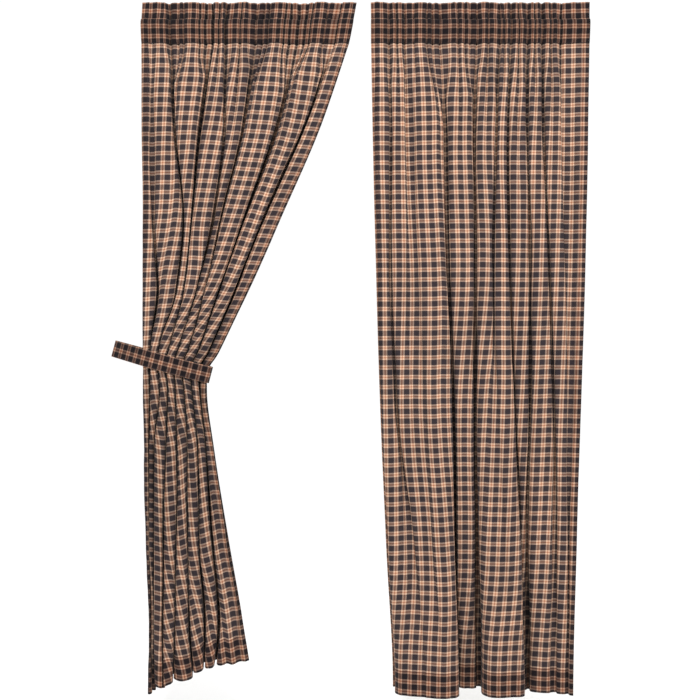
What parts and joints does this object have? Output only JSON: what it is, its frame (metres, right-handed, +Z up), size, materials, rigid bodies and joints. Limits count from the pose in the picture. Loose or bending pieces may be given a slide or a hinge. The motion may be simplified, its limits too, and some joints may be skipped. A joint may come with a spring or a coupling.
{
  "type": "pair of lined rod pocket panel curtains with a tieback",
  "caption": "Pair of lined checked curtain panels with gathered rod pocket headings, the left one drawn aside by a cloth tieback.",
  "frame": {"origin": "on the rod line through both rod pockets, midway between the two panels", "axes": "+X to the viewer's right along the rod, +Y towards the wall, +Z up"},
  "size_m": [1.4901, 0.1364, 2.1332],
  "materials": {
    "panel_cloth": "woven cotton check over a plain lining, matte",
    "heading_cloth": "woven cotton check, doubled, matte",
    "tieback_cloth": "woven cotton check, doubled, matte"
  },
  "bodies": {
    "root": {"left_heading": "heading_cloth", "right_heading": "heading_cloth", "left_panel": "panel_cloth", "right_panel": "panel_cloth", "tieback": "tieback_cloth"}
  },
  "joints": []
}
